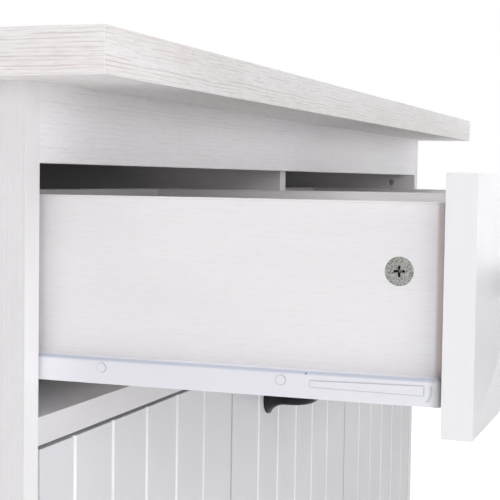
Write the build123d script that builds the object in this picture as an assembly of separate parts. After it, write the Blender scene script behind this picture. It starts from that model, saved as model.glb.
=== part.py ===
from build123d import *
import os

# Flat-topped storage desk: two inset drawers side by side under an overhanging top, and below them
# a beadboard door, a deep beadboard drawer and a second beadboard door. Millimetres.
# Working frame: X across from the desk's centre, Y back from the front plane, Z up from the floor.
# The exported frame keeps X and Z and moves Y so that the origin is the bottom centre of the
# whole object as it stands, with its two upper drawers pulled out.

# ---- driving dimensions ----
WIDTH = 1000.0            # carcass, outside the side panels
DEPTH = 440.0             # carcass, front plane to the back of the back panel
HEIGHT = 760.0
BOARD = 16.0              # melamine board
THIN = 3.0                # hardboard backs and drawer bottoms
TOP_THICK = 25.0
TOP_FRONT = 60.0          # overhangs of the top
TOP_SIDE = 28.0
TOP_REAR = 15.0
APRON_HEIGHT = 44.0
DRAWER_OPENING = 141.0    # clear height between the apron and the drawer shelf
PLINTH_HEIGHT = 60.0
PLINTH_RECESS = 18.0
GLIDE_HEIGHT = 6.0
GLIDE_RADIUS = 7.5
LOWER_BAY = 170.0         # centre of the desk to the middle of a lower divider
PARTITION_SETBACK = 16.4  # front plane to the front edge of the upright boards behind the fronts
SHELF_HEIGHT = 290.0      # underside of the cupboard shelves
DRAWER_OPEN = 240.0       # how far the two upper drawers stand out
TILE_GAP = 3.0            # between two neighbouring fronts
FRONT_GAP = 2.5           # above a front, below and beside a door
SMALL_BOTTOM_GAP = 5.5    # between a small drawer front and the drawer shelf
DRAWER_SIDE_GAP = 2.0     # beside a drawer front
DRAWER_BOX = 360.0        # drawer side length
DRAWER_BOARD = 12.0       # drawer sides and backs
SMALL_SIDE = 101.3        # drawer side heights
DEEP_SIDE = 260.0
DEEP_SIDE_Z = 100.0
BEAD_PITCH = 52.2
BEAD_FIRST = 42.6         # outer edge of a door to its first groove
BEAD_DEPTH = 2.0
BEADS = 5
SLIDE_SPACE = 12.7        # drawer side to the board beside it
SLIDE_DROP = 105.8        # apron to the top of a small drawer's slide
STEEL = 1.2               # rolled slide sections
SLIDE_LENGTH = 350.0
SLIDE_SETBACK = 16.5      # front plane to the closed drawer slide
SLIDE_HEIGHT = 14.2
SLIDE_REACH = 9.2         # width of the drawer slide beside the drawer
SLIDE_FOLD = 3.5          # outer radius of the fold between its roof and its face
SLIDE_NOSE = 3.6          # and of its front corner
SLIDE_EMBOSS = 0.35       # height of what is pressed out of its face
RIVETS = (84.0, 186.8)    # slide end to the rivet heads
RIVET_DROP = 5.3
RIVET_HEAD = 2.5
CHANNEL_DROP = 18.0       # top of the drawer slide to the track of the cabinet slide
FRONT_ROLLER = 5.5
REAR_ROLLER = 7.0
ROLLER_INSET = 18.0       # slide end to the roller's axle
AXLE = 1.5
RUNNING = 0.05            # radial clearance of what turns or is screwed in
ROLL_GAP = 0.3
CAM_RADIUS = 7.5
CAM_BACKSET = 25.0        # cam centre to the joint between the boards
BOLT_RADIUS = 2.5
BOLT_ROOT = 11.0          # bolt length in the second board
PULL_CENTRES = 160.0
PULL_REACH = 38.0
PULL_RADIUS = 5.5
PULL_FOOT = 13.5
PULL_DROP = 32.5          # top of the deep front to its pull
DOOR_PULL_DROP = 290.0    # top of a door to the middle of its upright pull
DOOR_PULL_INSET = 38.0
HINGE_HEIGHT = 50.0
HINGE_INSET = 90.0        # end of a door to the middle of a hinge
LEAF = 1.1
LEAF_DEPTH = 14.0
KNUCKLE = 3.0
PIN_OUT = 3.5             # hinge axis in front of the doors
EPS = 0.01

# ---- levels and planes that follow from them ----
HALF = WIDTH / 2
INSIDE = HALF - BOARD
TOP_Z = HEIGHT - TOP_THICK
APRON_Z = TOP_Z - APRON_HEIGHT
SHELF_TOP = APRON_Z - DRAWER_OPENING
SHELF_Z = SHELF_TOP - BOARD
BOTTOM_TOP = PLINTH_HEIGHT + BOARD
BACK_Y = DEPTH - THIN
FRONT_TOP = SHELF_Z - FRONT_GAP
FRONT_Z = BOTTOM_TOP + FRONT_GAP
SMALL_TOP = APRON_Z - FRONT_GAP
SMALL_Z = SHELF_TOP + SMALL_BOTTOM_GAP
SMALL_SLIDE_TOP = APRON_Z - SLIDE_DROP
SMALL_SIDE_Z = SMALL_SLIDE_TOP - SLIDE_HEIGHT + STEEL
DEEP_SLIDE_TOP = DEEP_SIDE_Z + SLIDE_HEIGHT - STEEL
HINGE_X = INSIDE - FRONT_GAP / 2
Y_MIDDLE = (DEPTH + TOP_REAR - DRAWER_OPEN - PULL_REACH) / 2

X_AXIS = Vector(1, 0, 0)
Y_AXIS = Vector(0, 1, 0)
Z_AXIS = Vector(0, 0, 1)

nodes = {}


def keep(name, *shapes):
    """File one or more shapes, each a separate solid, under one node."""
    nodes[name] = [solid for shape in shapes for solid in shape.solids()]


# ---- plain shapes ----
def block(x0, x1, y0, y1, z0, z1):
    """A box between two corners, whichever way round the X values come."""
    return Pos((x0 + x1) / 2, (y0 + y1) / 2, (z0 + z1) / 2) * Box(abs(x1 - x0), y1 - y0, z1 - z0)


def rod(start, direction, radius, length):
    """A round bar from a point along a direction."""
    return Plane(origin=start, z_dir=direction).location * Pos(0, 0, length / 2) * Cylinder(radius, length)


def taper(start, direction, radius, end_radius, length):
    return Plane(origin=start, z_dir=direction).location * Pos(0, 0, length / 2) * Cone(
        radius, end_radius, length)


def cross(at, direction, arm, width, depth):
    """The cutter of a cross recess."""
    tool = Box(2 * arm, width, 2 * depth) + Box(width, 2 * arm, 2 * depth)
    return Plane(origin=at, z_dir=direction).location * tool


def handed(shape, side):
    """A shape drawn for the left hand (side -1), or its mirror image for the right (side 1)."""
    return shape if side < 0 else mirror(shape, about=Plane.YZ)


# ---- fasteners ----
def screw(at, direction, length, radius=1.9, head=3.6):
    """A countersunk screw whose head is flush with the surface at a point."""
    head_length = head - radius + 0.4
    body = taper(at, direction, head, radius, head_length) + rod(at, direction, radius, length)
    return body - cross(at, direction, 0.62 * head, 0.8, 1.1)


def screw_hole(at, direction, length, radius=1.9, head=3.6):
    start = at - direction * EPS
    sink = taper(start, direction, head + RUNNING, radius + RUNNING, head - radius + 0.4)
    return sink + rod(start, direction, radius + RUNNING, length + 0.5)


def cam_joint(face, into, pull, board):
    """Cam and bolt that draw one board against the next, with the holes that they need.

    face is the cam's centre on the board's face, into points into that board and pull points
    along the bolt to the second board.
    """
    middle = face + into * (board / 2)
    cam_depth = 0.76 * board
    cam = rod(face + into * 0.2, into, CAM_RADIUS, cam_depth)
    cam -= rod(middle, pull, BOLT_RADIUS + 0.6, 2 * CAM_RADIUS)
    cam -= cross(face + into * 0.2, into, 2.9, 1.3, 2.6)
    bolt = rod(middle + pull, pull, BOLT_RADIUS, CAM_BACKSET + BOLT_ROOT - 1)
    hole = rod(face - into * EPS, into, CAM_RADIUS + RUNNING, cam_depth + 0.4)
    hole += rod(middle, pull, BOLT_RADIUS + RUNNING, CAM_BACKSET + BOLT_ROOT + 0.3)
    return cam, bolt, hole


# ---- bow pull ----
def bow_pull():
    """Round bar on two trumpet feet, along X, with its feet on the plane Y = 0 and its bar at -Y."""
    bar_y = PULL_RADIUS - PULL_REACH
    half = PULL_CENTRES / 2
    path = FilletPolyline((-half, -2, 0), (-half, bar_y, 0), (half, bar_y, 0), (half, -2, 0), radius=16)
    pull = sweep(Plane(origin=path @ 0, z_dir=path % 0) * Circle(PULL_RADIUS), path=path)
    rim = 1.5
    neck = 14.0
    outline = [
        Line((0, 0), (PULL_FOOT, 0)),
        Line((PULL_FOOT, 0), (PULL_FOOT, -rim)),
        TangentArc((PULL_RADIUS, -neck), (PULL_FOOT, -rim), tangent=(0, 1)),
        Line((PULL_RADIUS, -neck), (0, -neck)),
        Line((0, -neck), (0, 0)),
    ]
    foot = revolve(make_face(outline), Axis.Y)
    for x in (-half, half):
        pull += Pos(x, 0, 0) * foot
    for x in (-half, half):
        pull -= rod(Vector(x, EPS, 0), -Y_AXIS, 2 + RUNNING, 12)
    return pull


def pull_screws(x, z, upright):
    """The two machine screws of a pull, with heads on the back of its front board, and their holes."""
    solids = []
    holes = []
    half = PULL_CENTRES / 2
    for step in (-half, half):
        at = Vector(x, BOARD, z + step) if upright else Vector(x + step, BOARD, z)
        head = rod(at, Y_AXIS, 3.8, 2.2) - cross(at + Y_AXIS * 2.2, Y_AXIS, 2.2, 0.8, 1.1)
        solids.append(head + rod(at + Y_AXIS * 0.1, -Y_AXIS, 2.0, BOARD + 10))
        holes.append(rod(at + Y_AXIS * EPS, -Y_AXIS, 2 + RUNNING, BOARD + 2 * EPS))
    return solids, holes


# ---- beadboard ----
def bead_front(x0, x1, grooves):
    """A beadboard front of full lower height, with upright V grooves in its face."""
    panel = block(x0, x1, 0, BOARD, FRONT_Z, FRONT_TOP)
    over = 1.0
    half = BEAD_DEPTH + over
    for x in grooves:
        wedge = Polyline((x - half, -over), (x, BEAD_DEPTH), (x + half, -over), close=True)
        panel -= Pos(0, 0, FRONT_Z - over) * extrude(make_face(wedge), FRONT_TOP - FRONT_Z + 2 * over)
    return panel


# ---- drawer slides: drawn from the board's face at X = 0, with Z = 0 on top of the drawer slide ----
def cabinet_slide():
    """Channel screwed to the cabinet, with the upright lug and riveted axle of its front roller."""
    track = -CHANNEL_DROP
    lid = 0.6
    web = block(0, STEEL, 0, SLIDE_LENGTH, track - STEEL, lid + STEEL)
    floor = block(0, SLIDE_SPACE - 1.4, 0, SLIDE_LENGTH, track - STEEL, track)
    roof = block(0, 9, 0, SLIDE_LENGTH, lid, lid + STEEL)
    lug = block(5.2, 6.2, ROLLER_INSET - 8, ROLLER_INSET + 8, track, -3.5)
    axle = rod(Vector(5.2, ROLLER_INSET, front_roller_z()), X_AXIS, AXLE, 6.0)
    return web + floor + roof + lug + axle


def drawer_slide():
    """Hood-shaped slide under the edge of a drawer side, closed and rounded at its front end."""
    root = SLIDE_SPACE - STEEL
    outer = SLIDE_SPACE - SLIDE_REACH

    def hood(inset, z_low, z_high, rear):
        body = block(outer + inset, root, inset, rear, z_low, z_high)
        corner = body.edges().filter_by(Axis.Z).sort_by(lambda edge: edge.center().X + edge.center().Y)[0]
        body = fillet(corner, SLIDE_NOSE - inset)
        rim = [edge for edge in body.edges().group_by(Axis.Z)[-1]
               if edge.center().X < root - EPS and edge.center().Y < rear - EPS]
        return fillet(rim, SLIDE_FOLD - inset)

    def pressed(shape):
        """What a flat shape on the face's own plane leaves standing out of it."""
        return extrude(shape, SLIDE_EMBOSS + 0.2, dir=(-1, 0, 0))

    slide = hood(0, -SLIDE_HEIGHT, 0, SLIDE_LENGTH)
    slide -= hood(STEEL, -SLIDE_HEIGHT - 1, -STEEL, SLIDE_LENGTH + 1)
    slide += block(root, SLIDE_SPACE, 0, SLIDE_LENGTH, -SLIDE_HEIGHT, 0)
    foot_z = -SLIDE_HEIGHT
    slide += block(root, SLIDE_SPACE + DRAWER_BOARD, 0, SLIDE_LENGTH, foot_z, foot_z + STEEL)
    slide += rod(Vector(5.4, SLIDE_LENGTH - ROLLER_INSET, rear_roller_z()), X_AXIS, AXLE, root - 5.4)
    sunk = outer + 0.2
    for y in RIVETS:
        slide += rod(Vector(sunk, y, -RIVET_DROP), -X_AXIS, RIVET_HEAD, 0.6)
    rib = Polyline((sunk, 8.7, -3.7), (sunk, 8.7, -8.5), (sunk, 68, -7.9), (sunk, 68, -4.8), close=True)
    slide += pressed(make_face(rib))
    ring = rod(Vector(sunk, 13.3, -6.0), -X_AXIS, 8.7, SLIDE_EMBOSS + 0.2)
    ring -= rod(Vector(sunk + 1, 13.8, -6.0), -X_AXIS, 8.7, 3)
    slide += ring & block(outer - 1, sunk, 4, 7.2, -11.8, -3.6)
    return slide - block(outer - 1, outer + 1.5, 70, 71, -1.7, 1)


def front_roller_z():
    return -STEEL - ROLL_GAP - FRONT_ROLLER


def rear_roller_z():
    return -CHANNEL_DROP + ROLL_GAP + REAR_ROLLER


def roller(radius, x0, x1):
    """A moulded roller on the X axis, with a raised hub and its bore."""
    wheel = rod(Vector(x0, 0, 0), X_AXIS, radius, x1 - x0)
    rim = rod(Vector(x1 - 0.6, 0, 0), X_AXIS, radius - 1.2, 1) - rod(Vector(x1 - 1, 0, 0), X_AXIS, 2.7, 2)
    return wheel - rim - rod(Vector(x0 - 1, 0, 0), X_AXIS, AXLE + RUNNING, x1 - x0 + 2)


# ---- one drawer with its slides, rollers, pull and fasteners ----
def drawer(name, bay, front_x, front_z, side_z, side_height, shift, pull_z, grooves=None):
    """bay and front_x are X spans, front_z is a Z span and shift moves the drawer along Y."""
    x0 = bay[0] + SLIDE_SPACE
    x1 = bay[1] - SLIDE_SPACE
    side_top = side_z + side_height
    box_end = BOARD + DRAWER_BOX
    slide_top = side_z + SLIDE_HEIGHT - STEEL
    pull_x = (front_x[0] + front_x[1]) / 2
    if grooves:
        front = bead_front(*front_x, grooves)
    else:
        front = block(*front_x, 0, BOARD, *front_z)
    back = block(x0 + DRAWER_BOARD, x1 - DRAWER_BOARD, box_end - DRAWER_BOARD, box_end,
                 side_z + 14, side_top)
    groove_depth = 5.0
    bottom_z = side_z + 10
    bottom = block(x0 + DRAWER_BOARD - groove_depth + 0.2, x1 - DRAWER_BOARD + groove_depth - 0.2,
                   BOARD - groove_depth + 0.2, box_end, bottom_z, bottom_z + THIN)
    slot = block(x0 + DRAWER_BOARD - groove_depth, x1 - DRAWER_BOARD + groove_depth,
                 BOARD - groove_depth, box_end + 1, bottom_z - 0.1, bottom_z + THIN + 0.1)
    front -= slot
    fixings, holes = pull_screws(pull_x, pull_z, False)
    for hole in holes:
        front -= hole
    slides = []
    sides = {}
    cam_z = side_top - 0.35 * side_height
    for side, hand, x_out in ((-1, "left", x0), (1, "right", x1)):
        inward = X_AXIS * -side
        panel = block(x_out, x_out - side * DRAWER_BOARD, BOARD, box_end, side_z, side_top) - slot
        cam_y = BOARD + CAM_BACKSET
        cam, bolt, hole = cam_joint(Vector(x_out, cam_y, cam_z), inward, -Y_AXIS, DRAWER_BOARD)
        panel -= hole
        front -= hole
        fixings += [cam, bolt]
        for step in (0.3, 0.75):
            at = Vector(x_out, box_end - DRAWER_BOARD / 2, side_z + step * side_height)
            fixings.append(screw(at, inward, 32))
            hole = screw_hole(at, inward, 32)
            panel -= hole
            back -= hole
        slide = Pos(bay[0] if side < 0 else bay[1], SLIDE_SETBACK, slide_top) * handed(drawer_slide(), side)
        for step in (0.15, 0.8):
            at = Vector(x_out - side * DRAWER_BOARD / 2, SLIDE_SETBACK + step * SLIDE_LENGTH,
                        side_z - STEEL)
            fixings.append(screw(at, Z_AXIS, 9, 1.6, 2.9))
            hole = screw_hole(at, Z_AXIS, 9, 1.6, 2.9)
            panel -= hole
            slide -= hole
        slides.append(slide)
        sides[hand] = panel
    pull = Pos(pull_x, 0, pull_z) * bow_pull()
    place = Pos(0, -shift, 0)
    keep(name + "_front", place * front)
    keep(name + "_left_side", place * sides["left"])
    keep(name + "_right_side", place * sides["right"])
    keep(name + "_back", place * back)
    keep(name + "_bottom", place * bottom)
    keep(name + "_slides", *[place * slide for slide in slides])
    keep(name + "_pull", place * pull)
    keep(name + "_fixings", *[place * solid for solid in fixings])
    rear_y = SLIDE_SETBACK + SLIDE_LENGTH - ROLLER_INSET - shift
    front_y = SLIDE_SETBACK + ROLLER_INSET
    wheels = {"front_rollers": (FRONT_ROLLER, 6.5, front_y, front_roller_z()),
              "rear_rollers": (REAR_ROLLER, 6.1, rear_y, rear_roller_z())}
    for wheel, (radius, inner, y, z) in wheels.items():
        pair = [Pos(x, y, slide_top + z) * handed(roller(radius, inner, 10.9), side)
                for side, x in ((-1, bay[0]), (1, bay[1]))]
        keep(name + "_" + wheel, *pair)


# ---- butt hinge on the left hand side, its axis on X = Y = 0 and its middle on Z = 0 ----
def hinge(side):
    """Frame leaf, door leaf, pin and screws of one hinge, with the screw holes."""
    gap = FRONT_GAP
    third = HINGE_HEIGHT / 3
    half = HINGE_HEIGHT / 2
    clear = KNUCKLE + 0.3
    rear = PIN_OUT + LEAF_DEPTH

    def leaf(x0, x1, bands):
        plate = block(x0, x1, clear, rear, -half, half)
        for z0, z1 in bands:
            plate += block(x0, x1, 0, clear, z0, z1)
            plate += rod(Vector(0, 0, z0), Z_AXIS, KNUCKLE, z1 - z0)
        return plate - rod(Vector(0, 0, -half - 1), Z_AXIS, AXLE + RUNNING, HINGE_HEIGHT + 2)

    ends = ((-half, -third / 2 - 0.2), (third / 2 + 0.2, half))
    frame_leaf = leaf(-gap / 2, LEAF - gap / 2, ends)
    door_leaf = leaf(gap / 2 - LEAF, gap / 2, ((-third / 2 + 0.2, third / 2 - 0.2),))
    pin = rod(Vector(0, 0, -half - 0.8), Z_AXIS, AXLE, HINGE_HEIGHT + 1.6)
    for end in (-1, 1):
        pin += rod(Vector(0, 0, end * (half + 0.1)), Z_AXIS * end, 2.3, 1.2)
    frame_screws = []
    door_screws = []
    frame_holes = []
    door_holes = []
    for z in (-16, 16):
        at = Vector(LEAF - gap / 2, PIN_OUT + 9, z)
        frame_screws.append(screw(at, -X_AXIS, 12, 1.5, 2.8))
        frame_holes.append(screw_hole(at, -X_AXIS, 12, 1.5, 2.8))
        at = Vector(gap / 2 - LEAF, PIN_OUT + 9, z)
        door_screws.append(screw(at, X_AXIS, 14, 1.5, 2.8))
        door_holes.append(screw_hole(at, X_AXIS, 14, 1.5, 2.8))
    for hole in frame_holes:
        frame_leaf -= hole
    for hole in door_holes:
        door_leaf -= hole
    shapes = {"frame_leaf": [frame_leaf], "door_leaf": [door_leaf], "pin": [pin],
              "frame_screws": frame_screws, "door_screws": door_screws,
              "frame_holes": frame_holes, "door_holes": door_holes}
    return {key: [handed(shape, side) for shape in group] for key, group in shapes.items()}


# ---- the doors and everything of theirs ----
def door(side, frame):
    """A door of one side; frame gathers what its hinges and catch leave on the cabinet."""
    name = "left_door" if side < 0 else "right_door"
    edge = side * (INSIDE - FRONT_GAP)
    inner = side * (LOWER_BAY + TILE_GAP / 2)
    grooves = [edge - side * (BEAD_FIRST + i * BEAD_PITCH) for i in range(BEADS)]
    panel = bead_front(edge, inner, grooves)
    pull_x = inner + side * DOOR_PULL_INSET
    pull_z = FRONT_TOP - DOOR_PULL_DROP
    fixings, holes = pull_screws(pull_x, pull_z, True)
    leaves = []
    for z in (FRONT_Z + HINGE_INSET, FRONT_TOP - HINGE_INSET):
        place = Pos(side * HINGE_X, -PIN_OUT, z)
        parts = {key: [place * shape for shape in group] for key, group in hinge(side).items()}
        leaves += parts["door_leaf"]
        fixings += parts["door_screws"]
        holes += parts["door_holes"]
        frame["leaves"] += parts["frame_leaf"]
        frame["pins"] += parts["pin"]
        frame["screws"] += parts["frame_screws"]
        frame["holes"][side] += parts["frame_holes"]
    plate_x = inner + side * 40
    plate = block(plate_x - 18, plate_x + 18, BOARD, BOARD + 1, FRONT_TOP - 14, FRONT_TOP - 2)
    for x in (plate_x - 12, plate_x + 12):
        at = Vector(x, BOARD + 1, FRONT_TOP - 8)
        hole = screw_hole(at, -Y_AXIS, 10, 1.5, 2.6)
        fixings.append(screw(at, -Y_AXIS, 10, 1.5, 2.6))
        plate -= hole
        holes.append(hole)
    fixings.append(plate)
    for hole in holes:
        panel -= hole
    catch = block(plate_x - 23, plate_x + 23, BOARD + 1.5, BOARD + 15, SHELF_Z - 13, SHELF_Z)
    catch -= block(plate_x - 15, plate_x + 15, BOARD, BOARD + 4, SHELF_Z - 9.5, SHELF_Z - 3.5)
    for x in (plate_x - 15, plate_x + 15):
        magnet_y = BOARD + 2
        catch += block(x - 1.2, x + 1.2, magnet_y, magnet_y + 3, SHELF_Z - 9.5, SHELF_Z - 3.5)
    frame["catches"].append(catch)
    keep(name + "_panel", panel)
    keep(name + "_pull", Pos(pull_x, 0, pull_z) * (Rot(0, 90, 0) * bow_pull()))
    keep(name + "_hinge_leaves", *leaves)
    keep(name + "_fixings", *fixings)


# ---- boards of the carcass ----
def carcass_boards():
    """Every fixed board, before it is bored."""
    divider_half = BOARD / 2
    low = (PARTITION_SETBACK, BACK_Y, BOTTOM_TOP, SHELF_Z)
    shelf_gap = 1.0
    shelf_y = (PARTITION_SETBACK + 12, BACK_Y - shelf_gap, SHELF_HEIGHT, SHELF_HEIGHT + BOARD)
    plinth_z = (GLIDE_HEIGHT, PLINTH_HEIGHT)
    inner = LOWER_BAY + divider_half + shelf_gap
    outer = INSIDE - shelf_gap
    return {
        "top_board": block(-HALF - TOP_SIDE, HALF + TOP_SIDE, -TOP_FRONT, DEPTH + TOP_REAR, TOP_Z, HEIGHT),
        "left_side_panel": block(-HALF, -INSIDE, 0, BACK_Y, GLIDE_HEIGHT, TOP_Z),
        "right_side_panel": block(INSIDE, HALF, 0, BACK_Y, GLIDE_HEIGHT, TOP_Z),
        "front_apron": block(-INSIDE, INSIDE, 0, BOARD, APRON_Z, TOP_Z),
        "rear_stretcher": block(-INSIDE, INSIDE, BACK_Y - BOARD, BACK_Y, APRON_Z, TOP_Z),
        "drawer_shelf": block(-INSIDE, INSIDE, 0, BACK_Y, SHELF_Z, SHELF_TOP),
        "bottom_panel": block(-INSIDE, INSIDE, 0, BACK_Y, PLINTH_HEIGHT, BOTTOM_TOP),
        "plinth_board": block(-INSIDE, INSIDE, PLINTH_RECESS, PLINTH_RECESS + BOARD, *plinth_z),
        "drawer_partition": block(-divider_half, divider_half, PARTITION_SETBACK, BACK_Y - BOARD,
                                  SHELF_TOP, TOP_Z),
        "left_divider": block(-LOWER_BAY - divider_half, -LOWER_BAY + divider_half, *low),
        "right_divider": block(LOWER_BAY - divider_half, LOWER_BAY + divider_half, *low),
        "left_cupboard_shelf": block(-outer, -inner, *shelf_y),
        "right_cupboard_shelf": block(inner, outer, *shelf_y),
        "back_panel": block(-HALF + 2, HALF - 2, BACK_Y, DEPTH, 40, TOP_Z),
    }


def carcass_cams():
    """(boards, cam centre, into, pull, board) of every cam joint of the carcass."""
    cam_x = INSIDE - CAM_BACKSET
    near = 70.0
    far = DEPTH - 60
    top_cam_z = TOP_Z - CAM_BACKSET
    joints = []
    for side, panel in ((-1, "left_side_panel"), (1, "right_side_panel")):
        outward = X_AXIS * side
        for y in (near, far):
            joints.append((("drawer_shelf", panel), Vector(side * cam_x, y, SHELF_Z), Z_AXIS, outward))
            joints.append((("bottom_panel", panel), Vector(side * cam_x, y, PLINTH_HEIGHT), Z_AXIS, outward))
            joints.append(((panel, "top_board"), Vector(side * INSIDE, y, top_cam_z), outward, Z_AXIS))
        middle = (APRON_Z + TOP_Z) / 2
        joints.append((("front_apron", panel), Vector(side * cam_x, BOARD, middle), -Y_AXIS, outward))
        at = Vector(side * cam_x, BACK_Y - BOARD, middle)
        joints.append((("rear_stretcher", panel), at, Y_AXIS, outward))
        at = Vector(side * cam_x, PLINTH_RECESS + BOARD, 0.5 * PLINTH_HEIGHT)
        joints.append((("plinth_board", panel), at, -Y_AXIS, outward))
    for y in (near, far):
        at = Vector(-BOARD / 2, y, top_cam_z)
        joints.append((("drawer_partition", "top_board"), at, X_AXIS, Z_AXIS))
    return joints


def carcass_screws():
    """(boards, head centre, direction, length, radius, head) of every wood screw between boards."""
    near = 90.0
    far = DEPTH - 90
    long_screw = (45, 2.4, 4.6)
    small_screw = (12, 1.5, 3.0)
    screws = []
    for y in (near, far):
        screws.append((("drawer_shelf", "drawer_partition"), Vector(0, y, SHELF_Z), Z_AXIS, *long_screw))
        for side, board in ((-1, "left_divider"), (1, "right_divider")):
            x = side * LOWER_BAY
            screws.append((("drawer_shelf", board), Vector(x, y, SHELF_TOP), -Z_AXIS, *long_screw))
            screws.append((("bottom_panel", board), Vector(x, y, PLINTH_HEIGHT), Z_AXIS, *long_screw))
    for x in (-300, -100, 100, 300):
        for z, board in ((APRON_Z + 20, "rear_stretcher"), (SHELF_Z + 8, "drawer_shelf"),
                         (PLINTH_HEIGHT + 8, "bottom_panel")):
            screws.append((("back_panel", board), Vector(x, DEPTH, z), -Y_AXIS, *small_screw))
    for side, board in ((-1, "left_side_panel"), (1, "right_side_panel")):
        for z in (180, 360, 620):
            at = Vector(side * (HALF - BOARD / 2), DEPTH, z)
            screws.append((("back_panel", board), at, -Y_AXIS, *small_screw))
    return screws


def shelf_pin_places():
    """(board, hole mouth, direction out of the board) of the shelf pins of one height."""
    places = []
    for side, panel, divider in ((-1, "left_side_panel", "left_divider"),
                                 (1, "right_side_panel", "right_divider")):
        for y in (60, BACK_Y - 50):
            places.append((panel, Vector(side * INSIDE, y, 0), X_AXIS * -side))
            places.append((divider, Vector(side * (LOWER_BAY + BOARD / 2), y, 0), X_AXIS * side))
    return places


# ---- the carcass with its hardware ----
def carcass():
    boards = carcass_boards()
    cams = []
    screws = []
    for names, face, into, pull in carcass_cams():
        cam, bolt, hole = cam_joint(face, into, pull, BOARD)
        cams += [cam, bolt]
        for name in names:
            boards[name] -= hole
    for names, at, direction, length, radius, head in carcass_screws():
        screws.append(screw(at, direction, length, radius, head))
        for name in names:
            boards[name] -= screw_hole(at, direction, length, radius, head)

    pin_radius = 2.5
    pin_z = SHELF_HEIGHT - pin_radius - RUNNING
    pins = []
    for board, mouth, out in shelf_pin_places():
        pins.append(rod(mouth + Z_AXIS * pin_z - out * 9, out, pin_radius, 17))
        for step in (-32, 0, 32):
            boards[board] -= rod(mouth + Z_AXIS * (pin_z + step) + out, -out, pin_radius + RUNNING, 11)
    for side, panel in ((-1, "left_side_panel"), (1, "right_side_panel")):
        spare = Vector(side * (INSIDE - 1), 30, APRON_Z - 9.5)
        boards[panel] -= rod(spare, X_AXIS * side, 4, 10)

    glides = []
    feet = [(side * (HALF - BOARD / 2), y, GLIDE_HEIGHT, panel) for y in (30, BACK_Y - 30)
            for side, panel in ((-1, "left_side_panel"), (1, "right_side_panel"))]
    feet += [(x, PLINTH_RECESS + BOARD / 2, GLIDE_HEIGHT, "plinth_board") for x in (-LOWER_BAY, LOWER_BAY)]
    for x, y, z, board in feet:
        pad = rod(Vector(x, y, 1.5), Z_AXIS, GLIDE_RADIUS, z - 1.5)
        pad += taper(Vector(x, y, 0), Z_AXIS, GLIDE_RADIUS - 1.2, GLIDE_RADIUS, 1.5)
        glides.append(pad + rod(Vector(x, y, z - 1), Z_AXIS, 1.2, 15))
        boards[board] -= rod(Vector(x, y, z - EPS), Z_AXIS, 1.2 + RUNNING, 14.5)

    slides = []
    bays = [(-INSIDE, -BOARD / 2, SMALL_SLIDE_TOP, ("left_side_panel", "drawer_partition")),
            (BOARD / 2, INSIDE, SMALL_SLIDE_TOP, ("drawer_partition", "right_side_panel")),
            (-LOWER_BAY + BOARD / 2, LOWER_BAY - BOARD / 2, DEEP_SLIDE_TOP, ("left_divider", "right_divider"))]
    for x0, x1, z, walls in bays:
        for side, x, wall in ((-1, x0, walls[0]), (1, x1, walls[1])):
            slide = Pos(x, SLIDE_SETBACK, z) * handed(cabinet_slide(), side)
            for step in (0.2, 0.85):
                at = Vector(x - side * STEEL, SLIDE_SETBACK + step * SLIDE_LENGTH, z - 8.5)
                screws.append(screw(at, X_AXIS * side, 8, 1.9, 3.2))
                hole = screw_hole(at, X_AXIS * side, 8, 1.9, 3.2)
                slide -= hole
                boards[wall] -= hole
            slides.append(slide)

    frame = {"leaves": [], "pins": [], "screws": [], "catches": [], "holes": {-1: [], 1: []}}
    for side, panel in ((-1, "left_side_panel"), (1, "right_side_panel")):
        door(side, frame)
        for hole in frame["holes"][side]:
            boards[panel] -= hole

    for name, board in boards.items():
        keep(name, board)
    keep("shelf_pins", *pins)
    keep("floor_glides", *glides)
    keep("cabinet_slides", *slides)
    keep("carcass_cam_fittings", *cams)
    keep("carcass_screws", *screws, *frame["screws"])
    keep("hinge_frame_leaves", *frame["leaves"])
    keep("hinge_pins", *frame["pins"])
    keep("door_catches", *frame["catches"])


carcass()
small_pull_z = (SMALL_TOP + SMALL_Z) / 2
for drawer_name, flip in (("left_drawer", -1), ("right_drawer", 1)):
    bay_span = sorted((flip * INSIDE, flip * BOARD / 2))
    front_span = sorted((flip * (INSIDE - DRAWER_SIDE_GAP), flip * TILE_GAP / 2))
    drawer(drawer_name, bay_span, front_span, (SMALL_Z, SMALL_TOP), SMALL_SIDE_Z, SMALL_SIDE,
           DRAWER_OPEN, small_pull_z)
deep_half = LOWER_BAY - TILE_GAP / 2
deep_grooves = [(i - (BEADS - 1) / 2) * BEAD_PITCH for i in range(BEADS)]
drawer("centre_drawer", (-LOWER_BAY + BOARD / 2, LOWER_BAY - BOARD / 2), (-deep_half, deep_half),
       (FRONT_Z, FRONT_TOP), DEEP_SIDE_Z, DEEP_SIDE, 0, FRONT_TOP - PULL_DROP, deep_grooves)

os.makedirs("parts", exist_ok=True)
for node, solids in nodes.items():
    placed = [Pos(0, -Y_MIDDLE, 0) * solid for solid in solids]
    export_step(placed[0] if len(placed) == 1 else Compound(placed), f"parts/{node}.step")
print(len(nodes), "nodes, front plane at Y =", -Y_MIDDLE)
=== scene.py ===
import math
from collections import namedtuple

import bpy
from mathutils import Matrix, Vector


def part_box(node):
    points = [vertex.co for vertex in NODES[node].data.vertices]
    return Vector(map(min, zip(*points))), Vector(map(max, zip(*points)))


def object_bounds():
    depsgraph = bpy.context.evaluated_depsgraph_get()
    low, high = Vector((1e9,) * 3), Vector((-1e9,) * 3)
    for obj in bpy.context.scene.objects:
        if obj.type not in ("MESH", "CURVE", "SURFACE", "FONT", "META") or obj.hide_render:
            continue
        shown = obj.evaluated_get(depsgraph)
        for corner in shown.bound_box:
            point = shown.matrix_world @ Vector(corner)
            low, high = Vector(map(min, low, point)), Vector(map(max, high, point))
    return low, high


# A white storage desk: every visible piece is a CAD node, dressed here with a finish and softened edges.

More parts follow.
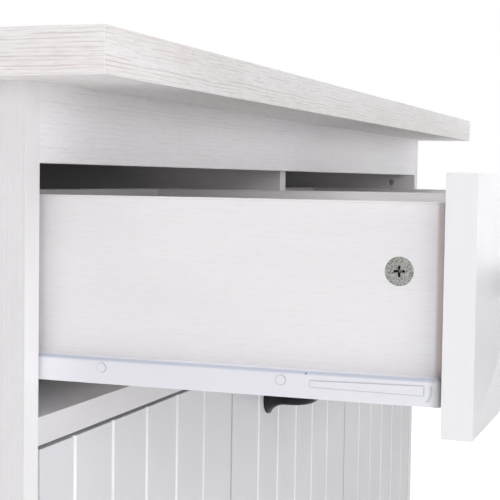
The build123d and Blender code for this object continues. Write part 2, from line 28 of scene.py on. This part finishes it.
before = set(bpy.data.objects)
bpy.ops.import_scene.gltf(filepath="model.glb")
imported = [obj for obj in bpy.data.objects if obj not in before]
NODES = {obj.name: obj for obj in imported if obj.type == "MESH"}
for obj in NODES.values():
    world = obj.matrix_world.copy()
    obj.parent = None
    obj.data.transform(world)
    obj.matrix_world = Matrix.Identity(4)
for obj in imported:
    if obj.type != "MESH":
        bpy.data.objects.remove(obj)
CAD_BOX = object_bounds()
MM = 0.001
AXIS = {"x": 0, "y": 1, "z": 2}

# ---------------------------------------------------------------- camera
LENS = 93.787
SENSOR = 36.0
EYE = Vector((-1.12073, -0.434319, 0.684456))
YAW = math.radians(19.301)      # of the line of sight, from +X towards +Y
PITCH = math.radians(-3.171)
ROLL = math.radians(0.856)
CLIP = (0.01, 100)


def make_camera():
    forward = Vector((math.cos(YAW) * math.cos(PITCH), math.sin(YAW) * math.cos(PITCH), math.sin(PITCH)))
    level = Vector((math.sin(YAW), -math.cos(YAW), 0))
    upright = level.cross(forward)
    right = math.cos(ROLL) * level + math.sin(ROLL) * upright
    up = math.cos(ROLL) * upright - math.sin(ROLL) * level
    data = bpy.data.cameras.new("camera")
    data.lens = LENS
    data.sensor_width = SENSOR
    data.clip_start, data.clip_end = CLIP
    camera = bpy.data.objects.new("camera", data)
    camera.matrix_world = Matrix((right, up, -forward)).transposed().to_4x4()
    camera.location = EYE
    bpy.context.scene.collection.objects.link(camera)
    bpy.context.scene.camera = camera


make_camera()

# ---------------------------------------------------------------- shader helpers
MOST = (0.3, 0.7)        # a noise of 0 to 1 stays mostly in this span
MOTTLE = (0.35, 0.7)
SQUARE_ON = 0.7072       # a normal's share along an axis, just past that of a 45 degree chamfer


class Shade:
    """A material and its node tree, with short calls for the nodes that are used here.

    mm and xyz are the object's own coordinates in millimetres, as a vector and as x, y and z, and
    normal is the object's own normal.
    """

    def __init__(self, name):
        self.material = bpy.data.materials.new(name)
        self.material.use_nodes = True
        self.tree = self.material.node_tree
        self.bsdf = self.tree.nodes["Principled BSDF"]
        coords = self.node("TexCoord")
        self.normal = coords.outputs["Normal"]
        self.mm = self.scale(coords.outputs["Object"], 1 / MM)
        self.xyz = self.split(self.mm)

    def node(self, kind, **settings):
        n = self.tree.nodes.new("ShaderNode" + kind)
        for key, value in settings.items():
            setattr(n, key, value)
        return n

    def put(self, socket, value):
        if isinstance(value, bpy.types.NodeSocket):
            self.tree.links.new(value, socket)
        elif isinstance(value, tuple):
            socket.default_value = (*value, 1)
        else:
            socket.default_value = value

    def fill(self, node, *values):
        """Puts the values in the node's first inputs, and returns its first output."""
        for socket, value in zip(node.inputs, values):
            self.put(socket, value)
        return node.outputs[0]

    def math(self, operation, *values, clamp=False):
        return self.fill(self.node("Math", operation=operation, use_clamp=clamp), *values)

    def vector(self, operation, *values):
        return self.fill(self.node("VectorMath", operation=operation), *values)

    def combine(self, x, y, z):
        return self.fill(self.node("CombineXYZ"), x, y, z)

    def scale(self, vector, factor):
        n = self.node("VectorMath", operation="SCALE")
        self.put(n.inputs["Scale"], factor)
        return self.fill(n, vector)

    def length(self, vector):
        n = self.node("VectorMath", operation="LENGTH")
        self.fill(n, vector)
        return n.outputs["Value"]

    def split(self, vector):
        n = self.node("SeparateXYZ")
        self.fill(n, vector)
        return n.outputs[0], n.outputs[1], n.outputs[2]

    def facing(self):
        """1 where the surface faces along x, y or z, from the object's own normals."""
        nx, _, nz = self.split(self.vector("ABSOLUTE", self.normal))
        on_x = self.math("GREATER_THAN", nx, SQUARE_ON)
        on_z = self.math("GREATER_THAN", nz, SQUARE_ON)
        on_y = self.math("SUBTRACT", self.math("SUBTRACT", 1.0, on_x), on_z, clamp=True)
        return on_x, on_y, on_z

    def noise(self, vector, size=1.0, detail=2.0, rough=0.5):
        """Noise from 0 to 1 in grains of about size."""
        n = self.node("TexNoise", noise_dimensions="3D", normalize=True)
        self.put(n.inputs["Vector"], vector)
        n.inputs["Scale"].default_value = 1 / size
        n.inputs["Detail"].default_value = detail
        n.inputs["Roughness"].default_value = rough
        return n.outputs["Fac"]

    def dice(self, value):
        """A random number from 0 to 1 that is fixed by the value."""
        n = self.node("TexWhiteNoise", noise_dimensions="1D")
        self.put(n.inputs["W"], value)
        return n.outputs["Value"]

    def crevice(self, reach):
        """1 in the open, falling to 0 in the corners and outlines within reach mm."""
        n = self.node("AmbientOcclusion", samples=8, only_local=True)
        n.inputs["Distance"].default_value = reach * MM
        return n.outputs["AO"]

    def step(self, value, low, high, out_low=0.0, out_high=1.0, smooth=True):
        """value from low..high to out_low..out_high, clamped."""
        n = self.node("MapRange", clamp=True, interpolation_type="SMOOTHSTEP" if smooth else "LINEAR")
        return self.fill(n, value, low, high, out_low, out_high)

    def around(self, noise, value, less, more):
        """From value - less to value + more, as the noise goes."""
        return self.step(noise, *MOST, value - less, value + more)

    def blend(self, factor, a, b):
        n = self.node("Mix", data_type="RGBA", blend_type="MIX")
        self.put(n.inputs[0], factor)
        self.put(n.inputs[6], a)
        self.put(n.inputs[7], b)
        return n.outputs[2]

    def mottled(self, noise, base, share, span=MOTTLE):
        """base, and share of it where the noise is high."""
        return self.blend(self.step(noise, *span), base, shaded(base, share))

    def bump(self, height, relief, strength):
        """relief is the height in mm that a height of 1 stands for."""
        n = self.node("Bump")
        n.inputs["Strength"].default_value = strength
        n.inputs["Distance"].default_value = relief * MM
        self.put(n.inputs["Height"], height)
        return n.outputs[0]

    def finish(self, colour, roughness, normal=None, **fixed):
        self.put(self.bsdf.inputs["Base Color"], colour)
        self.put(self.bsdf.inputs["Roughness"], roughness)
        if normal is not None:
            self.put(self.bsdf.inputs["Normal"], normal)
        for key, value in fixed.items():
            self.bsdf.inputs[key.replace("_", " ")].default_value = value
        return self.material


def linear(r, g, b):
    """An 8-bit display colour as the shader's scene-linear one."""
    def one(v):
        v /= 255
        return v / 12.92 if v <= 0.04045 else ((v + 0.055) / 1.055) ** 2.4
    return one(r), one(g), one(b)


def shaded(colour, share):
    return tuple(c * share for c in colour)


# ---------------------------------------------------------------- wood-grain melamine
Foil = namedtuple("Foil", "base dark pale pitch lines dashes")     # pitch in mm, lines and dashes strengths
Streak = namedtuple("Streak", "length width offset detail")        # length and width in mm, offset of the seed

WAVER = Streak(70, 14, 0.0, 1.0)      # how the printed lines wander
WANDER = 3.4                          # and how far, in mm
FIBRE = Streak(16, 0.7, 0.0, 3.0)
FIBRE_SPAN = (0.42, 0.7)
FIBRE_SHARE = 0.35                    # of the lines' strength
DASH = Streak(9, 0.8, 11.0, 1.0)
DASH_SPAN = (0.56, 0.66)
TONE = Streak(160, 30, 3.0, 2.0)
TONE_SPAN = (0.35, 0.65)
LINE_PLACE = (0.35, 0.65)             # of a line within its pitch
LINE_WIDTH = (0.10, 0.26)             # half a line's width as a share of its pitch
LINE_LENGTH = 46                      # mm before a line fades
LINE_SPREAD = 3.1                     # how unlike the fading of neighbouring lines is
FADE_SPAN = (0.36, 0.62)
SECOND_DICE = (1.37, 5.5)             # factor and offset of the second number drawn for a line
FACE_SEED = 37.0                      # between the faces of one board
LINE_RELIEF, DASH_RELIEF, FIBRE_RELIEF = -0.6, -0.8, 0.5

BAND = 0.9 * MM                       # thickness of the edge bands
BAND_PALE = linear(242, 241, 243)
BAND_SHARE = 0.55
GLUE = linear(196, 180, 172)
GLUE_SPAN = (0.06, 0.22)              # mm from the middle of a joint
GLUE_SHARE = 0.3
# painted shadow of the outer drawers' fronts on their sides: its colour, and where it fades
FRONT_SHADOW_COLOUR = linear(198, 186, 184)
FRONT_SHADOW_SPAN = (4.2, 6.6)                # mm from the front


def grain_plane(s, node, grain):
    """Coordinates in mm along the grain and across it, with a seed per face direction, and s.facing()."""
    low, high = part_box(node)
    size = high - low
    on = s.facing()
    total = None
    for normal in "xyz":
        others = [a for a in "xyz" if a != normal]
        along = grain if grain in others else max(others, key=lambda a: size[AXIS[a]])
        across = [a for a in others if a != along][0]
        picked = s.combine(s.xyz[AXIS[along]], s.xyz[AXIS[across]], FACE_SEED * (1 + AXIS[normal]))
        masked = s.scale(picked, on[AXIS[normal]])
        total = masked if total is None else s.vector("ADD", total, masked)
    return total, on


def streaks(s, u, v, w, streak):
    seed = s.math("ADD", w, streak.offset) if streak.offset else w
    place = s.combine(s.math("MULTIPLY", u, 1 / streak.length), s.math("MULTIPLY", v, 1 / streak.width), seed)
    return s.noise(place, detail=streak.detail)


def printed_lines(s, u, v, w, pitch):
    """Long wandering lines along the grain, each at its own place in its pitch and of its own width."""
    waver = streaks(s, u, v, w, WAVER)
    t = s.math("DIVIDE", s.math("MULTIPLY_ADD", waver, WANDER, v), pitch)
    cell = s.math("FLOOR", t)
    inside = s.math("FRACT", t)
    factor, offset = SECOND_DICE
    place_dice = s.dice(s.math("ADD", cell, w))
    width_dice = s.dice(s.math("ADD", s.math("MULTIPLY", cell, factor), s.math("ADD", w, offset)))
    place = s.step(place_dice, 0, 1, *LINE_PLACE, smooth=False)
    width = s.step(width_dice, 0, 1, *LINE_WIDTH, smooth=False)
    off = s.math("ABSOLUTE", s.math("SUBTRACT", inside, place))
    line = s.math("SUBTRACT", 1.0, s.math("DIVIDE", off, width), clamp=True)
    fade = s.noise(s.combine(s.math("MULTIPLY", u, 1 / LINE_LENGTH), s.math("MULTIPLY", cell, LINE_SPREAD), w))
    return s.math("MULTIPLY", line, s.step(fade, *FADE_SPAN))


def board(node, grain, foil, seed, band=None, glue=(), front_shadow_at=None):
    """Wood-grain melamine for one board.

    band is the axis that the banded edges face, which are a little paler, and glue a list of
    (axis, place in m, face) of their joints. The last argument is where along y in m a board meets the front
    that
    it is fixed to: a warm painted shadow of that front's overhang lies on the board next to it.
    """
    s = Shade(node + "_finish")
    plane, on = grain_plane(s, node, grain)
    u, v, w = s.split(plane)
    w = s.math("ADD", w, seed)
    line = printed_lines(s, u, v, w, foil.pitch)
    fibre = streaks(s, u, v, w, FIBRE)
    dash = s.step(streaks(s, u, v, w, DASH), *DASH_SPAN)
    tone = streaks(s, u, v, w, TONE)
    colour = s.blend(s.step(tone, *TONE_SPAN), foil.base, foil.pale)
    fibres = s.math("MULTIPLY", s.step(fibre, *FIBRE_SPAN), FIBRE_SHARE * foil.lines)
    colour = s.blend(fibres, colour, foil.dark)
    colour = s.blend(s.math("MULTIPLY", line, foil.lines), colour, foil.dark)
    colour = s.blend(s.math("MULTIPLY", dash, foil.dashes), colour, foil.dark)
    height = s.math("MULTIPLY_ADD", line, LINE_RELIEF, s.math("MULTIPLY", dash, DASH_RELIEF))
    height = s.math("MULTIPLY_ADD", fibre, FIBRE_RELIEF, height)
    if band:
        colour = s.blend(s.math("MULTIPLY", on[AXIS[band]], BAND_SHARE), colour, BAND_PALE)
    seam = None
    for axis, place, face in glue:
        gap = s.math("ABSOLUTE", s.math("SUBTRACT", s.xyz[AXIS[axis]], place / MM))
        mark = s.math("MULTIPLY", s.step(gap, *GLUE_SPAN, 1.0, 0.0), on[AXIS[face]])
        seam = mark if seam is None else s.math("MAXIMUM", seam, mark)
    if seam is not None:
        colour = s.blend(s.math("MULTIPLY", seam, GLUE_SHARE), colour, GLUE)
    # painted shadow of the front's overhang: a warm strip on the faces along x, next to the front
    if front_shadow_at is not None:
        behind = s.math("SUBTRACT", s.xyz[AXIS["y"]], front_shadow_at / MM)
        painted_shadow = s.math("MULTIPLY", s.step(behind, *FRONT_SHADOW_SPAN, 1.0, 0.0), on[AXIS["x"]])
        colour = s.blend(painted_shadow, colour, FRONT_SHADOW_COLOUR)
    rough = s.around(fibre, 0.42, less=0.05, more=0.07)
    return s.finish(colour, rough, s.bump(height, relief=0.05, strength=0.6), IOR=1.46)


# ---------------------------------------------------------------- other finishes
BRUSH_MARK = (1.2, 60)                # width and height in mm of the lacquer's upright marks
MARK_SPAN = (0.52, 0.75)
# GROOVE_FROM and GROOVE_TO pick the V grooves' walls for their painted highlight
GROOVE_FROM, GROOVE_TO = (0.45, 0.6), (0.8, 0.95)       # the normals' x share on a V groove's walls
# FOLD_FROM and FOLD_TO pick where painted shade goes on the slides' folds
FOLD_FROM, FOLD_TO = (0.3, 0.75), (0.93, 0.995)         # the normals' z share on a folded edge
# a painted grey shadow of the drawer front over a slide's nose: how far back it fades, and its colour
NOSE_SHADE_SPAN = (1.0, 7.0)                # mm from the tip of a slide
NOSE_PAINTED_SHADE = linear(158, 157, 162)
# painted bluish shade in the pressed outlines and where parts touch
OUTLINE_SHADE = linear(110, 112, 134)
# painted bluish highlights, in random patches on the zinc
BLUISH_HIGHLIGHT = linear(180, 192, 204)
# painted shade, near black, in the zinc's recesses
RECESS_SHADE = linear(26, 26, 30)


def lacquer(name, base, seed=0.0, groove_highlight=0.0):
    """Sprayed satin lacquer over fibreboard: faint upright brush marks and a soft uneven sheen.

    The last argument is how much whiter the walls of the V grooves are painted, as a painted highlight.
    """
    s = Shade(name)
    x, y, z = s.xyz
    width, height = BRUSH_MARK
    cloud = s.noise(s.mm, size=45)
    mark = s.noise(s.combine(s.math("MULTIPLY", x, 1 / width), s.math("MULTIPLY", y, 1 / width),
                             s.math("MULTIPLY_ADD", z, 1 / height, seed)))
    colour = s.mottled(cloud, base, 0.99, MOST)
    colour = s.blend(s.math("MULTIPLY", s.step(mark, *MARK_SPAN), 0.35), colour, shaded(base, 0.96))
    # painted highlight: both walls of the V grooves made whiter
    if groove_highlight:
        across = s.math("ABSOLUTE", s.split(s.normal)[0])
        painted_groove_light = s.math("MULTIPLY", s.step(across, *GROOVE_FROM), s.step(across, *GROOVE_TO, 1.0, 0.0))
        colour = s.blend(s.math("MULTIPLY", painted_groove_light, groove_highlight), colour, (1.0, 1.0, 1.0))
    rough = s.around(cloud, 0.34, less=0.03, more=0.04)
    return s.finish(colour, rough, s.bump(mark, relief=0.004, strength=0.5), IOR=1.5)


def fibreboard(name, base):
    """White-faced hardboard: flat paint over a fine fibrous felt."""
    s = Shade(name)
    felt = s.noise(s.mm, size=0.9, detail=4.0, rough=0.65)
    cloud = s.noise(s.mm, size=35, detail=3.0)
    colour = s.mottled(felt, base, 0.93)
    colour = s.blend(s.math("MULTIPLY", s.step(cloud, 0.4, 0.7), 0.5), colour, shaded(base, 0.95))
    rough = s.around(felt, 0.5, less=0.0, more=0.15)
    return s.finish(colour, rough, s.bump(felt, relief=0.03, strength=0.8), IOR=1.45)


def enamel(name, base, fold_shade, tip):
    """Epoxy enamel on rolled steel, with painted bluish shade over the upward folds and painted shade in the
    pressed outlines.

    tip is where along y in m the rolled nose ends, which gets a painted grey shadow of the drawer front.
    """
    s = Shade(name)
    peel = s.noise(s.mm, size=1.4, detail=1.0)
    cloud = s.noise(s.mm, size=40)
    colour = s.mottled(cloud, base, 0.985)
    up = s.split(s.normal)[2]
    # painted shade, bluish, where the fold turns upward
    painted_fold_shade = s.math("MULTIPLY", s.step(up, *FOLD_FROM), s.step(up, *FOLD_TO, 1.0, 0.0))
    colour = s.blend(painted_fold_shade, colour, fold_shade)
    # painted shadow on the nose, fading back from the tip
    from_tip = s.math("SUBTRACT", s.xyz[AXIS["y"]], tip / MM)
    colour = s.blend(s.step(from_tip, *NOSE_SHADE_SPAN, 0.85, 0.0), colour, NOSE_PAINTED_SHADE)
    # painted shade from local occlusion in the pressed outlines
    colour = s.blend(s.step(s.crevice(0.9), 0.5, 0.97, 0.9, 0.0), colour, OUTLINE_SHADE)
    rough = s.around(cloud, 0.33, less=0.04, more=0.05)
    return s.finish(colour, rough, s.bump(peel, relief=0.002, strength=0.4), IOR=1.5)


def nylon(name, base, roughness):
    """Moulded nylon: slightly translucent, with a fine matt skin."""
    s = Shade(name)
    skin = s.noise(s.mm, size=0.5)
    cloud = s.noise(s.mm, size=4.0, detail=3.0)
    colour = s.mottled(cloud, base, 0.95)
    rough = s.around(cloud, roughness, less=0.05, more=0.07)
    return s.finish(colour, rough, s.bump(skin, relief=0.008, strength=0.6), IOR=1.53,
                    Subsurface_Weight=0.08, Subsurface_Scale=0.002)


def plated(name, base, blotch):
    """Zinc plate: blotchy crystals, painted bluish highlights in patches and painted shade in the recesses."""
    s = Shade(name)
    crystal = s.node("TexVoronoi", feature="F1")
    s.put(crystal.inputs["Vector"], s.mm)
    crystal.inputs["Scale"].default_value = 1 / 0.8
    cell = s.math("MULTIPLY", crystal.outputs["Distance"], 0.5)
    grey = s.noise(s.mm, size=0.55, detail=4.0, rough=0.65)
    cloud = s.noise(s.mm, size=2.4, detail=3.0)
    colour = s.blend(s.step(grey, 0.4, 0.66), base, blotch)
    # painted highlight: bluish patches from a noise
    colour = s.blend(s.step(cloud, 0.58, 0.68, 0.0, 0.6), colour, BLUISH_HIGHLIGHT)
    # painted shade in the recesses, from local occlusion
    colour = s.blend(s.step(s.crevice(2.2), 0.35, 0.85, 0.97, 0.0), colour, RECESS_SHADE)
    rough = s.math("ADD", s.around(grey, 0.36, less=0.06, more=0.14), s.math("MULTIPLY", cell, 0.2))
    return s.finish(colour, rough, s.bump(s.math("ADD", grey, cell), relief=0.04, strength=0.8), Metallic=0.75)


def black_paint(name, base):
    """Satin black powder coat: a fine grain, worn a little smoother in places."""
    s = Shade(name)
    grain = s.noise(s.mm, size=0.45)
    wear = s.noise(s.mm, size=14, detail=4.0, rough=0.6)
    colour = s.mottled(wear, base, 1.8, (0.45, 0.75))
    rough = s.step(wear, 0.3, 0.75, 0.42, 0.26)
    return s.finish(colour, rough, s.bump(grain, relief=0.015, strength=0.6), IOR=1.3)


# ---------------------------------------------------------------- finishes of the CAD nodes
TOP = Foil(linear(236, 233, 232), linear(200, 185, 181), linear(242, 241, 242), 2.3, 0.8, 0.22)
CARCASS = Foil(linear(228, 226, 228), linear(212, 208, 209), linear(231, 229, 231), 3.1, 0.3, 0.2)
DRAWER = CARCASS._replace(pitch=3.4, lines=0.12, dashes=0.18)
APRON = CARCASS._replace(base=linear(242, 240, 243), pale=linear(244, 243, 246))
# painted shade: a darker copy of the carcass foil for the drawer shelf, which sits in the drawers' shade
SHADED_SHELF = CARCASS._replace(base=linear(217, 215, 218), pale=linear(220, 218, 221))

BOARDS = {   # node: grain
    "top_board": "x",
    "left_side_panel": "z", "right_side_panel": "z", "left_divider": "z", "right_divider": "z",
    "drawer_partition": "y", "front_apron": "x", "rear_stretcher": "x", "drawer_shelf": "x",
    "bottom_panel": "x", "plinth_board": "x", "left_cupboard_shelf": "x", "right_cupboard_shelf": "x",
}
for who in ("left", "centre", "right"):
    BOARDS[f"{who}_drawer_left_side"] = "y"
    BOARDS[f"{who}_drawer_right_side"] = "y"
    BOARDS[f"{who}_drawer_back"] = "x"


def board_finish(node, grain, seed):
    low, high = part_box(node)
    if node == "top_board":
        ends = (low.x + BAND, high.x - BAND)
        glue = [("x", place, face) for face in "yz" for place in ends]
        glue += [("y", place, "z") for place in (low.y + BAND, high.y - BAND)]
        return board(node, grain, TOP, seed, glue=glue)
    if "drawer_" in node and node.endswith(("_side", "_back")):
        face = "x" if node.endswith("_side") else "y"
        # the outer drawers' sides get a painted shadow next to their fronts
        front_shadow_at = low.y if face == "x" and "centre" not in node else None
        return board(node, grain, DRAWER, seed, band="z", glue=[("z", high.z - BAND, face)], front_shadow_at=front_shadow_at)
    face = "x" if grain == "z" or node == "drawer_partition" else "z"
    foil = {"front_apron": APRON, "drawer_shelf": SHADED_SHELF}.get(node, CARCASS)
    return board(node, grain, foil, seed, band="y" if face == "x" else None, glue=[("y", low.y + BAND, face)])


LACQUER = lacquer("lacquer", linear(232, 231, 234))
BEADBOARD = lacquer("beadboard_lacquer", linear(218, 217, 222), seed=7.0, groove_highlight=0.55)
HARDBOARD = fibreboard("hardboard", linear(226, 225, 224))
NYLON = nylon("white_nylon", linear(228, 228, 224), 0.38)
ZINC = plated("zinc", linear(202, 201, 196), linear(100, 100, 98))
BLACK = black_paint("black_paint", (0.004, 0.004, 0.005))
GLIDE = nylon("glide_plastic", linear(215, 215, 212), 0.25)
CATCH = nylon("catch_plastic", linear(226, 226, 224), 0.42)
# the slides' enamel, and the painted bluish shade of their folds
SLIDE_WHITE, SLIDE_FOLD_SHADE = linear(226, 226, 232), linear(190, 195, 210)


def other_finish(node):
    if node in ("left_drawer_front", "right_drawer_front"):
        return LACQUER
    if node == "centre_drawer_front" or node.endswith("_door_panel"):
        return BEADBOARD
    if node.endswith("_bottom") or node == "back_panel":
        return HARDBOARD
    if "slides" in node:
        return enamel(node + "_enamel", SLIDE_WHITE, SLIDE_FOLD_SHADE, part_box(node)[0].y)
    if "rollers" in node:
        return NYLON
    if node.endswith("_pull") or "hinge" in node:
        return BLACK
    return {"floor_glides": GLIDE, "door_catches": CATCH}.get(node, ZINC)


def dress(node, material):
    for slot in NODES[node].material_slots:
        slot.link = "OBJECT"
        slot.material = material


for i, (node, grain) in enumerate(BOARDS.items()):
    dress(node, board_finish(node, grain, i))
for node in NODES:
    if node not in BOARDS:
        dress(node, other_finish(node))

# ---------------------------------------------------------------- softened edges
TOP_EDGE, BOARD_EDGE, FRONT_EDGE = 0.5 * MM, 0.35 * MM, 0.6 * MM
SHARP = math.radians(30)
FLAT = math.radians(0.5)


def merge_flats(o):
    o.modifiers.new("weld", "WELD").merge_threshold = 1e-6
    flat = o.modifiers.new("flat", "DECIMATE")
    flat.decimate_type = "DISSOLVE"
    flat.angle_limit = FLAT


def soften(o, width):
    merge_flats(o)
    bevel = o.modifiers.new("bevel", "BEVEL")
    bevel.width = width
    bevel.segments = 2
    bevel.limit_method = "ANGLE"
    bevel.angle_limit = SHARP
    bevel.harden_normals = False


for node, o in NODES.items():
    if node == "top_board":
        soften(o, TOP_EDGE)
    elif node in BOARDS or node.endswith("_bottom") or node == "back_panel":
        soften(o, BOARD_EDGE)
    elif node.endswith(("_front", "_panel")):
        soften(o, FRONT_EDGE)
    elif "slides" in node:
        merge_flats(o)
        o.modifiers.new("shading", "WEIGHTED_NORMAL").keep_sharp = True

# ---------------------------------------------------------------- studio
FLOOR_REACH = 30.0
FLOOR_GLOW = 0.23             # what the floor adds to the light on the object
FLOOR_SEEN = (0.5, 1.0)       # and how bright it is by itself near the object and far off
FLOOR_SEEN_SPAN = (1000, 3000)      # mm
WORLD_FILL = 0.05
SOFTBOXES = {   # name: place, width, height, watts
    "front_left": ((-2.2, -2.8, 1.15), 2.1, 1.3, 34),
    "right": ((2.7, -1.2, 1.0), 2.1, 1.2, 13),
    "overhead": ((0, -0.6, 3.2), 2.0, 2.0, 48),
    "near_left": ((-1.9, -0.65, 1.05), 0.7, 0.7, 5.9),
    "left_high": ((-2.0, -0.9, 2.8), 1.6, 1.6, 24),
    "low_left": ((-2.0, -0.3, 0.12), 1.4, 0.6, 1.0),
    "back": ((1.4, 3.4, 1.6), 2.2, 1.8, 45),
}


def softbox(name, at, towards, width, height, power):
    """A rectangular area light in watts that the camera does not see."""
    data = bpy.data.lights.new(name, "AREA")
    data.shape = "RECTANGLE"
    data.size = width
    data.size_y = height
    data.energy = power
    light = bpy.data.objects.new(name, data)
    at = Vector(at)
    light.location = at
    light.rotation_euler = (towards - at).to_track_quat("-Z", "Y").to_euler()
    light.visible_camera = False
    bpy.context.scene.collection.objects.link(light)


def make_floor():
    """A pale floor that fades into the white backdrop."""
    mesh = bpy.data.meshes.new("floor")
    corners = [(x * FLOOR_REACH, y * FLOOR_REACH, 0) for x, y in ((-1, -1), (1, -1), (1, 1), (-1, 1))]
    mesh.from_pydata(corners, [], [(0, 1, 2, 3)])
    floor = bpy.data.objects.new("floor", mesh)
    bpy.context.scene.collection.objects.link(floor)
    s = Shade("floor")
    speck = s.noise(s.mm, size=25, detail=3.0)
    colour = s.blend(s.step(speck, *MOST), (0.93, 0.93, 0.93), (0.95, 0.95, 0.95))
    s.finish(colour, s.around(speck, 0.6, less=0.05, more=0.05))
    seen = s.step(s.length(s.mm), *FLOOR_SEEN_SPAN, *FLOOR_SEEN)
    lit = s.math("MULTIPLY", seen, s.node("LightPath").outputs["Is Camera Ray"])
    s.bsdf.inputs["Emission Color"].default_value = (1, 1, 1, 1)
    s.put(s.bsdf.inputs["Emission Strength"], s.math("MAXIMUM", lit, FLOOR_GLOW))
    mesh.materials.append(s.material)


def make_world():
    """A white studio: the backdrop is pure white, and its light on the object is softer than that."""
    world = bpy.data.worlds.new("studio")
    world.use_nodes = True
    tree = world.node_tree
    fill = tree.nodes["Background"]
    fill.inputs["Color"].default_value = (1, 1, 1, 1)
    fill.inputs["Strength"].default_value = WORLD_FILL
    backdrop = tree.nodes.new("ShaderNodeBackground")
    backdrop.inputs["Color"].default_value = (1, 1, 1, 1)
    rays = tree.nodes.new("ShaderNodeLightPath")
    mixer = tree.nodes.new("ShaderNodeMixShader")
    tree.links.new(rays.outputs["Is Camera Ray"], mixer.inputs[0])
    tree.links.new(fill.outputs[0], mixer.inputs[1])
    tree.links.new(backdrop.outputs[0], mixer.inputs[2])
    tree.links.new(mixer.outputs[0], tree.nodes["World Output"].inputs["Surface"])
    bpy.context.scene.world = world


low, high = CAD_BOX
AIM = Vector((0.3 * low.x, 0.3 * low.y, 0.8 * high.z))      # near the open left drawer
make_floor()
make_world()
for name, (at, width, height, power) in SOFTBOXES.items():
    softbox(name, at, AIM, width, height, power)
bpy.context.scene.view_settings.view_transform = "Standard"
